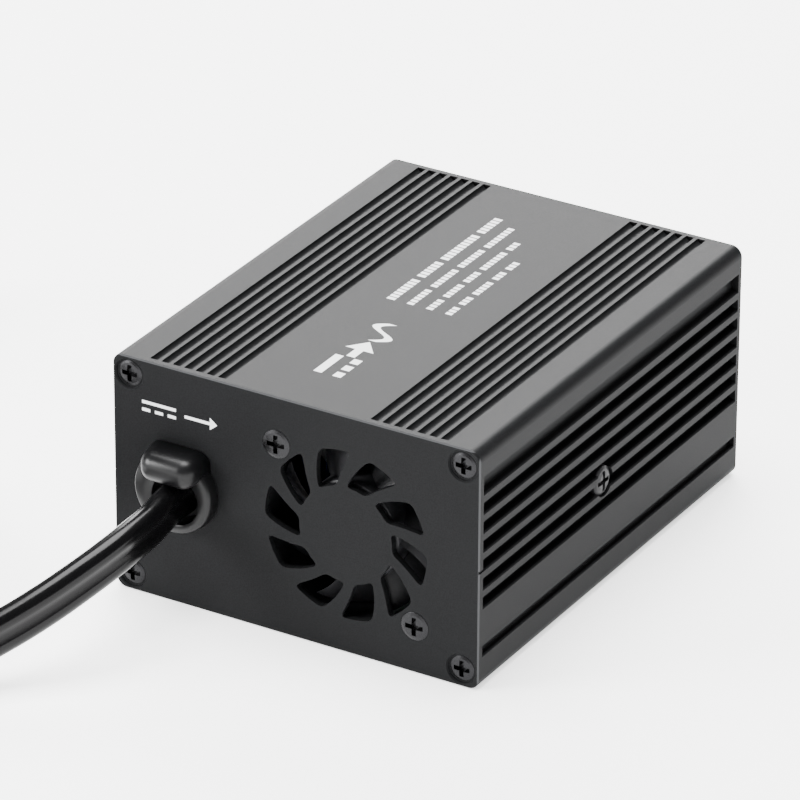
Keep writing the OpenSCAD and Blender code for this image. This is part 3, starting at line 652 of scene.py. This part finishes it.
def arrow_sign(finish, x, y, centre, length, height, line):
    """A shaft with a three-cornered head, pointing along x."""
    shaft = bar(finish, x, y, (centre[0] - height / 3, centre[1]), (length - height / 2, line))
    behind_tip = within(finish, abs(y - centre[1]) + (x - centre[0] - length / 2) * ARROW_SLOPE, 0)
    head = behind_tip * bar(finish, x, y, (centre[0] + length / 2 - height * ARROW_HEAD / 2, centre[1]),
                            (height * ARROW_HEAD, height))
    return joined([shaft, head])


CELL = 1.35  # from one dash to the next, and the gap between two groups


def text_line(finish, x, y, start, words, height):
    """A line of plain dashes, in groups, that only takes the place of words."""
    cells = ((x - start[0]) * (1 / CELL)).math("FRACT")
    dashes = finish.between(abs(cells - 0.5), 0.33, 0.4, 1, 0)
    marks = []
    at = start[0]
    for word in words:
        marks.append(bar(finish, x, y, (at + word / 2, start[1]), (word, height)))
        at += word + CELL
    return joined(marks) * dashes


print("signs fade over", 2 * INK_SOFT, "mm at their edges")

# %% Case print
# On the top the print reads from the front towards the rear, so the page's x is Y and its y is -X.
TOP_Z = 53
TOP_SIGN_Y, TOP_LINE, INK_COVER = 0.7, 1.9, 0.9
ROWS_FROM = -5
# Each row's place across the case, its height, and the length of each of its groups
DASH_ROWS = ((7.2, 1.9, (10.8, 8.1, 13.5, 8.1)), (2.6, 1.5, (8.1, 9.45, 9.45, 10.8)),
             (-1.9, 1.5, (5.4, 6.75, 5.4, 9.45, 4.05)), (-6.4, 1.5, (4.05, 4.05, 6.75, 4.05, 4.05)))


def case_finish():
    """The paint with the print on the middle of the top."""
    finish = satin_metal("case_satin")
    x, y, z = finish.axes()
    page_x, page_y = y, x * -1
    marks = [direct_current_sign(finish, page_x, page_y, (-36, TOP_SIGN_Y), (8.6, 4.4), TOP_LINE),
             arrow_sign(finish, page_x, page_y, (-27.2, TOP_SIGN_Y), 7, 6.8, TOP_LINE),
             alternating_current_sign(finish, page_x, page_y, (-18.8, TOP_SIGN_Y), 8.4, 5, TOP_LINE)]
    marks += [text_line(finish, page_x, page_y, (ROWS_FROM, row_y), groups, height)
              for row_y, height, groups in DASH_ROWS]
    on_top = finish.between(z, TOP_Z - 0.3, TOP_Z - 0.2)
    printed = joined(marks) * on_top
    finish.set("Base Color", finish.mix(printed * INK_COVER, finish.metal_colour, PRINT_WHITE))
    return finish.material


# %% Plate print and painted edge highlight
HALF_W, MID_Z, RIM_MARGIN = 42.5, 26.5, 0.35
FACE_Y, FRONT_SIGN_Z = -53.95, 42.9
EDGE_HIGHLIGHT_METALLIC = 0.5


def plate_finish(name, print_front):
    """The paint with a painted highlight along the bevel, in a lighter and half-metallic colour, and the
    front plate's two signs.
    """
    finish = satin_metal(name)
    x, y, z = finish.axes()
    # The bevel is the only face that looks partly outwards and partly forwards
    slope = abs(finish.facing_y())
    edge = finish.between(slope, 0.3, 0.4) * finish.between(slope, 0.85, 0.95, 1, 0)
    past_rim = joined([abs(x) - (HALF_W - RIM_MARGIN), abs(z - MID_Z) - (MID_Z - RIM_MARGIN)])
    near_rim = finish.between(past_rim, 0.02, 0.06)
    # Painted highlight: the bevel near the rim takes the lighter colour here and half metallic below
    colour = finish.mix(edge * near_rim, finish.metal_colour, EDGE_PAINTED_HIGHLIGHT)
    if print_front:
        marks = [direct_current_sign(finish, x, z, (-31.6, FRONT_SIGN_Z), (8, 1.7), 0.68),
                 arrow_sign(finish, x, z, (-21.6, FRONT_SIGN_Z), 7.4, 2.8, 0.65)]
        on_front = finish.between(y, FACE_Y, FACE_Y + 0.05, 1, 0)
        colour = finish.mix(joined(marks) * on_front, colour, PRINT_WHITE)
    finish.set("Base Color", colour)
    finish.set("Metallic", edge * near_rim * EDGE_HIGHLIGHT_METALLIC)
    return finish.material


CASE_SATIN = case_finish()
FRONT_SATIN = plate_finish("front_plate_satin", True)
REAR_SATIN = plate_finish("rear_plate_satin", False)
print("case finishes", CASE_SATIN.name, FRONT_SATIN.name)

# %% [markdown]
# ## The other finishes
# Each moulded, rubber or metal part gets its own function: a base colour, a gloss that varies with a soft
# noise, and a fine bump at the scale of its grain.

# %% Plastics, rubber and metals
GRAIN_MM = 0.4
METAL_GRAIN_DEPTH = 0.004
BOARD_GREEN, TRACK_GREEN = (0.02, 0.16, 0.06), (0.05, 0.26, 0.1)


def moulded(name, color, roughness, depth=0.01, coat=0.0, shine=0.2):
    """A plastic or other cast part: faintly cloudy, with a fine grain."""
    finish = Finish(name, color, roughness, coat=coat, Specular_IOR_Level=shine)
    grain = finish.noise(1 / GRAIN_MM)
    cloud = finish.noise(0.08)
    finish.set("Base Color", finish.tone(cloud, 0.8, 1.2))
    finish.set("Roughness", finish.between(cloud, 0.3, 0.7, roughness * 0.85, roughness * 1.15))
    finish.bump(grain, depth, 0.6)
    return finish.material


def metal(name, color, roughness, stretch=(1, 1, 1)):
    """A bare metal; the stretch draws its grain out into lines."""
    finish = Finish(name, color, roughness, metallic=1.0)
    grain = finish.noise(4, stretch=stretch)
    finish.set("Base Color", finish.tone(grain, 0.82, 1.12))
    finish.set("Roughness", finish.between(grain, 0.3, 0.7, roughness * 0.8, roughness * 1.25))
    finish.bump(grain, METAL_GRAIN_DEPTH, 0.6)
    return finish.material


def soft_vinyl(name, color, roughness):
    """The lead's skin: slow ripples from the extruder and small scuffs."""
    finish = Finish(name, color, roughness, Specular_IOR_Level=0.16)
    ripple = finish.noise(0.12, detail=2)
    scuff = finish.noise(0.9, detail=3)
    finish.set("Base Color", finish.tone(scuff, 0.9, 1.15))
    finish.set("Roughness", finish.between(scuff, 0.35, 0.75, roughness * 0.9, roughness * 1.2))
    finish.bump(ripple, 0.05, 0.4)
    return finish.material


def board_finish(name):
    """Green lacquer over lighter tracks."""
    finish = Finish(name, BOARD_GREEN, 0.3, coat=0.4)
    tracks = finish.node("ShaderNodeTexBrick", {"offset": 0.37}, Vector=finish.place(), Scale=180.0)
    finish.set("Base Color", finish.mix(tracks * 0.7, (*BOARD_GREEN, 1), (*TRACK_GREEN, 1)))
    return finish.material


def clear_lens(name, color):
    """A coloured plastic or glass that lets some light through."""
    finish = Finish(name, color, 0.12, coat=0.6, Transmission_Weight=0.25)
    swirl = finish.noise(0.6)
    finish.set("Base Color", finish.tone(swirl, 0.85, 1.15))
    return finish.material


print("grain", GRAIN_MM, "mm on plastics")

# %% Every finish by its slot
FINISHES = {
    "black_screw": metal("black_screw", (0.02, 0.02, 0.021), 0.3),
    "zinc_steel": metal("zinc_steel", (0.62, 0.63, 0.62), 0.3),
    "black_gloss_plastic": moulded("black_gloss_plastic", (0.003, 0.003, 0.0033), 0.33, depth=0.004),
    "black_plastic": moulded("black_plastic", (0.006, 0.006, 0.0065), 0.38),
    "grey_plastic": moulded("grey_plastic", (0.022, 0.022, 0.024), 0.4),
    "cord_pvc": soft_vinyl("cord_pvc", (0.0018, 0.0018, 0.002), 0.2),
    "magnet": moulded("magnet", (0.05, 0.045, 0.04), 0.6),
    "bronze": metal("bronze", (0.55, 0.38, 0.2), 0.45),
    "core_steel": metal("core_steel", (0.35, 0.35, 0.36), 0.4, stretch=(1, 12, 1)),
    "copper": metal("copper", (0.62, 0.28, 0.13), 0.3, stretch=(1, 1, 6)),
    "circuit_board": board_finish("circuit_board"),
    "red_insulation": soft_vinyl("red_insulation", (0.4, 0.02, 0.015), 0.35),
    "black_insulation": soft_vinyl("black_insulation", (0.012, 0.012, 0.012), 0.35),
    "nickel": metal("nickel", (0.42, 0.41, 0.39), 0.22),
    "glass_fuse": clear_lens("glass_fuse", (0.8, 0.85, 0.85)),
    "fuse_plastic": clear_lens("fuse_plastic", (0.03, 0.09, 0.4)),
    "capacitor_sleeve": moulded("capacitor_sleeve", (0.012, 0.018, 0.07), 0.25, coat=0.4),
    "ferrite": moulded("ferrite", (0.035, 0.035, 0.036), 0.55, depth=0.03),
    "tape": moulded("tape", (0.5, 0.33, 0.03), 0.3),
    "chip_epoxy": moulded("chip_epoxy", (0.014, 0.014, 0.015), 0.5),
    "aluminium_bar": metal("aluminium_bar", (0.6, 0.6, 0.61), 0.35, stretch=(1, 0.05, 1)),
    "pad": moulded("pad", (0.45, 0.46, 0.45), 0.7),
    "white_plastic": moulded("white_plastic", (0.3, 0.3, 0.285), 0.35),
    "green_lens": clear_lens("green_lens", (0.012, 0.22, 0.02)),
    "switch_black": moulded("switch_black", (0.006, 0.006, 0.0065), 0.36),
    "switch_red": moulded("switch_red", (0.17, 0.003, 0.002), 0.28, coat=0.1),
    "brass_contact": metal("brass_contact", (0.66, 0.48, 0.2), 0.28),
}
SIDE_SCREW_BLACK = moulded("side_screw_black", (0.012, 0.012, 0.013), 0.42, shine=0.12)
NODE_FINISH = {"case_extrusion": CASE_SATIN, "front_plate": FRONT_SATIN, "rear_plate": REAR_SATIN,
               "side_screws": SIDE_SCREW_BLACK}
slot_of = {part["node"]: part["material_slot"] for part in frame["record"]["subparts"]}


def dress(obj, material):
    """Puts one finish on all of a piece."""
    if not obj.material_slots:
        obj.data.materials.append(material)
    for place in obj.material_slots:
        place.material = material


for node, obj in frame["nodes"].items():
    dress(obj, NODE_FINISH.get(node) or FINISHES[slot_of[node]])
for piece in (lead, collar, thumb, relief, tie, spring, fan):
    dress(piece, FINISHES[piece["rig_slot"]])
print(len(FINISHES), "finishes on", len(frame["nodes"]), "parts")

# %% [markdown]
# ## Table and studio light
# The table is a pale sheet that glows a little, as a light table does. One broad soft box stands behind and
# to the left, so that the satin top mirrors it, a second one hangs overhead, and a small one near the bush
# lights the left of the front. The rest of the room stays dim, so the front, the side and the round
# shoulder between side and top stay as dark as on the real object.

# %% Table
TABLE_HALF = 6.0
TABLE_GLOW = 1.6


def pale_table():
    """A flat sheet under everything; it is part of the stage and not of the object."""
    bm = bmesh.new()
    bmesh.ops.create_grid(bm, x_segments=2, y_segments=2, size=TABLE_HALF)
    table = piece_from(bm, "table", smooth=False)
    finish = Finish("light_table", (0.9, 0.9, 0.9), 0.9, Emission_Strength=TABLE_GLOW)
    shade = finish.tone(finish.noise(0.002), 0.99, 1.01)
    finish.set("Base Color", shade)
    finish.set("Emission Color", shade)
    dress(table, finish.material)


pale_table()
print("table", 2 * TABLE_HALF, "m across")

# %% Lights
AIM = Vector((0, 0, 0.03))
# Each box's name, place, size and watts
SOFT_BOXES = (("back_box", (-1.15, 1.95, 1.15), (1.7, 1.5), 160),
              ("top_box", (-0.1, 0.1, 2.2), (1.6, 1.6), 195),
              ("left_fill", (-0.6, -0.6, 0.3), (0.35, 0.35), 16))
ROOM_STRENGTH = 0.35


def soft_box(name, at, size, watts):
    """A rectangular light turned towards the object."""
    data = bpy.data.lights.new(name, "AREA")
    data.shape = "RECTANGLE"
    data.size, data.size_y = size
    data.energy = watts
    light = bpy.data.objects.new(name, data)
    light.location = at
    light.rotation_mode = "QUATERNION"
    light.rotation_quaternion = (AIM - Vector(at)).to_track_quat("-Z", "Y")
    bpy.context.collection.objects.link(light)


for box in SOFT_BOXES:
    soft_box(*box)
world = bpy.data.worlds.new("room")
bpy.context.scene.world = world
world.use_nodes = True
world.node_tree.nodes["Background"].inputs["Color"].default_value = (1, 1, 1, 1)
world.node_tree.nodes["Background"].inputs["Strength"].default_value = ROOM_STRENGTH
